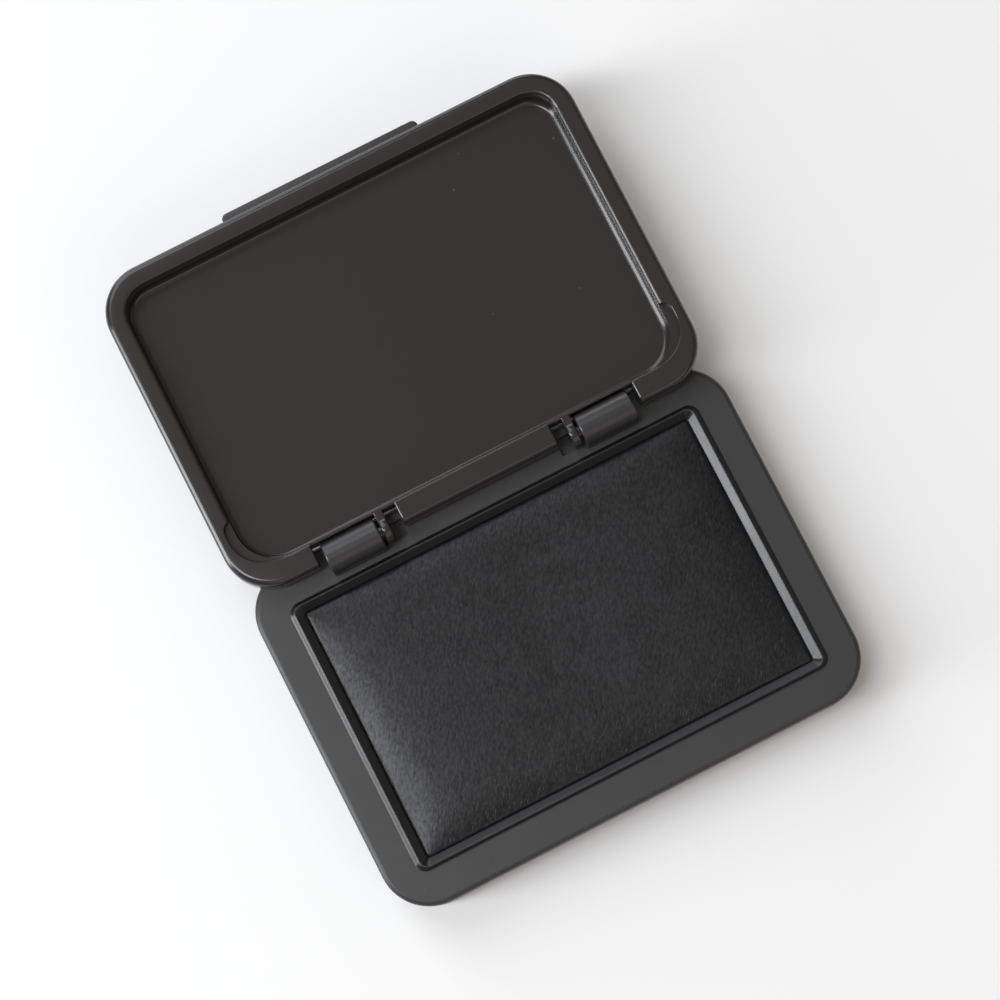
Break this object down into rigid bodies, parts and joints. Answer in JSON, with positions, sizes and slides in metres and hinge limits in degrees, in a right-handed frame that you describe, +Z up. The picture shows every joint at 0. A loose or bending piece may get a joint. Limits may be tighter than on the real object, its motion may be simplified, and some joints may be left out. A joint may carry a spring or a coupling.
{
  "type": "ink pad",
  "caption": "Hinged plastic ink pad, opened flat: a framed, cloth-covered ink cushion in a shallow base, and a thin lid with a thumb tab.",
  "frame": {"origin": "centre of the flat underside of the base", "axes": "+X along the hinge, left to right seen from the front; +Y from the base towards the opened lid; +Z up out of the pad"},
  "size_m": [0.0772, 0.1055, 0.0146],
  "materials": {
    "case_plastic": "semi-matt moulded, fine spark texture",
    "bezel_plastic": "semi-matt moulded",
    "tray_plastic": "plain moulded",
    "ink_felt": "pressed felt, soaked with ink",
    "ink_foam": "open-cell foam, soaked with ink",
    "inked_cloth": "fine suede-like nap, inked black"
  },
  "bodies": {
    "base": {"base_shell": "case_plastic", "bottom_plate": "case_plastic", "ink_tray": "tray_plastic", "felt_reservoir": "ink_felt", "foam_cushion": "ink_foam", "pad_cloth": "inked_cloth", "pad_frame": "bezel_plastic"},
    "lid": {"lid_shell": "case_plastic"}
  },
  "joints": [
    {"name": "lid_hinge", "type": "hinge", "parent": "base", "child": "lid", "pos_m": [0, 0.02479, 0.0121], "axis": [1, 0, 0], "range_deg": [0, 180]}
  ]
}
